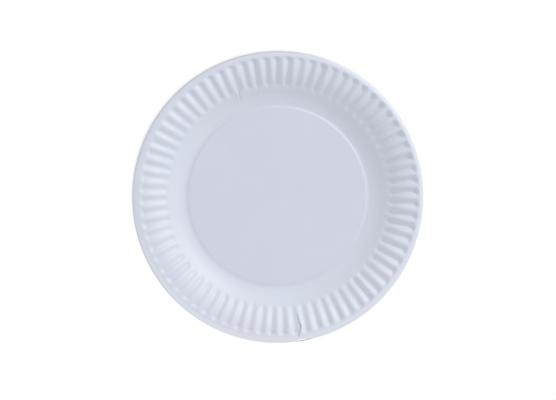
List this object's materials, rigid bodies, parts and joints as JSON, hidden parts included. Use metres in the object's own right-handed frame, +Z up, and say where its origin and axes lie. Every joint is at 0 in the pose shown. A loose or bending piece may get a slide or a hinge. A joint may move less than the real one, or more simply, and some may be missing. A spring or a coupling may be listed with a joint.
{
  "type": "paper plate",
  "caption": "Round dished paper plate: flat raised middle, smooth sloped side, radial pressed flutes and a lip turned down all round, with one short tear in from the rim.",
  "frame": {"origin": "centre of the plate, at the level of the narrow ring that it stands on", "axes": "+Z up through the open side of the dish; +X and +Y in the plane of the rim, with the tear near -Y"},
  "size_m": [0.23, 0.23, 0.0168],
  "materials": {
    "board": "matt white paperboard with a faint blue cast"
  },
  "bodies": {
    "root": {"plate": "board"}
  },
  "joints": []
}
